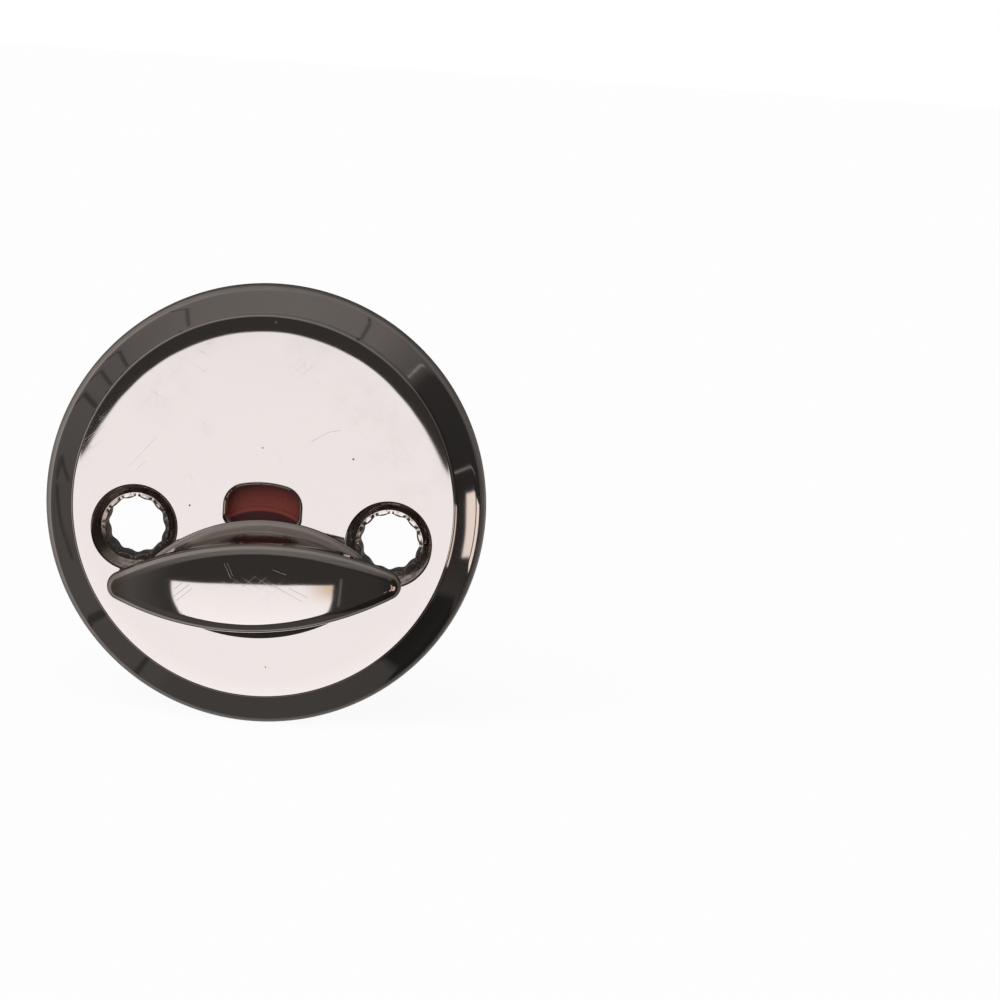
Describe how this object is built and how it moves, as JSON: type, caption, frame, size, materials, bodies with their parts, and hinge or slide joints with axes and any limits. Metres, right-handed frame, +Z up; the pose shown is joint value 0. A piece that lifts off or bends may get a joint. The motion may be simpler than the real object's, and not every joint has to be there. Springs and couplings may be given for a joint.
{
  "type": "bathroom thumb turn lock",
  "caption": "Round polished rose for the inside of a bathroom door, with a boat-shaped thumb turn, a red and white occupied window, countersunk screw holes and a square spindle.",
  "frame": {"origin": "on the turning axis, in the plane of the door face", "axes": "+X to the right of someone facing the door, +Y into the door, +Z up; the front looks along -Y"},
  "size_m": [0.052, 0.0595, 0.052],
  "materials": {
    "polished_nickel": "polished, with hairline scratches",
    "bush_nylon": "moulded",
    "spring_steel": "dark, as tempered",
    "indicator_plastic": "red field on a white disc",
    "plain_steel": "drawn, zinc plated"
  },
  "bodies": {
    "rose": {"rose": "polished_nickel", "bearing_bush": "bush_nylon"},
    "turn": {"thumb_turn": "polished_nickel", "hub_washer": "indicator_plastic", "indicator_disc": "indicator_plastic", "cone_spring": "spring_steel", "retaining_ring": "spring_steel", "square_spindle": "plain_steel", "spindle_pin": "plain_steel"}
  },
  "joints": [
    {"name": "turn", "type": "hinge", "parent": "rose", "child": "turn", "pos_m": [0, 0, 0], "axis": [0, -1, 0], "range_deg": [-4, 86]}
  ]
}
